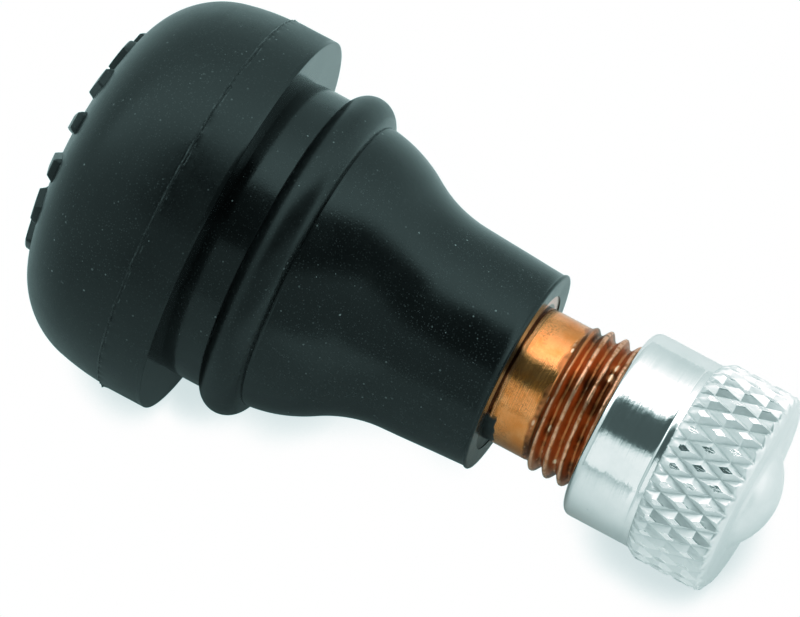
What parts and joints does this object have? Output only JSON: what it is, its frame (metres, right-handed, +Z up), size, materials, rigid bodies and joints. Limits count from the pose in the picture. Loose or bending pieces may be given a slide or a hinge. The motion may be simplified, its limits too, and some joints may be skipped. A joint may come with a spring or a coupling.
{
  "type": "tyre valve",
  "caption": "Snap-in rubber tyre valve: domed head, rim groove and bead, tapered sleeve, brass stem with a sprung core, and a knurled metal dome cap that unscrews.",
  "frame": {"origin": "centre of the rim seat, the front face of the flange that bears on the inside of the rim", "axes": "+X along the valve's axis, out of the wheel towards the cap; +Z up"},
  "size_m": [0.0383, 0.02, 0.02],
  "materials": {
    "rubber": "moulded black rubber, satin",
    "stem_brass": "turned copper-coloured brass, tarnished",
    "core_brass": "turned yellow brass",
    "seal_red": "red sealing ring",
    "seal_black": "black sealing rubber",
    "spring_steel": "drawn spring wire",
    "cap_metal": "turned and knurled bright metal"
  },
  "bodies": {
    "valve": {"rubber_body": "rubber", "stem": "stem_brass", "core_plug": "core_brass", "core_barrel": "core_brass", "barrel_seal": "seal_red", "core_spring": "spring_steel"},
    "pin": {"core_pin": "core_brass", "pin_cup": "core_brass", "cup_seal": "seal_black"},
    "washer": {"cap_seal": "seal_black"},
    "cap": {"cap": "cap_metal"}
  },
  "joints": [
    {"name": "pin_press", "type": "slide", "parent": "valve", "child": "pin", "axis": [-1, 0, 0], "range_m": [0, 0.0012], "stiffness_N_per_m": 2000, "deforming": ["core_spring"]},
    {"name": "cap_lift", "type": "slide", "parent": "valve", "child": "washer", "axis": [1, 0, 0], "range_m": [0, 0.00595]},
    {"name": "cap_turn", "type": "hinge", "parent": "washer", "child": "cap", "pos_m": [0.027, 0, 0], "axis": [1, 0, 0], "range_deg": [0, 2700]}
  ],
  "couplings": [
    {"joint": "cap_turn", "follows": "cap_lift", "rad_per_m": 7915.8}
  ]
}
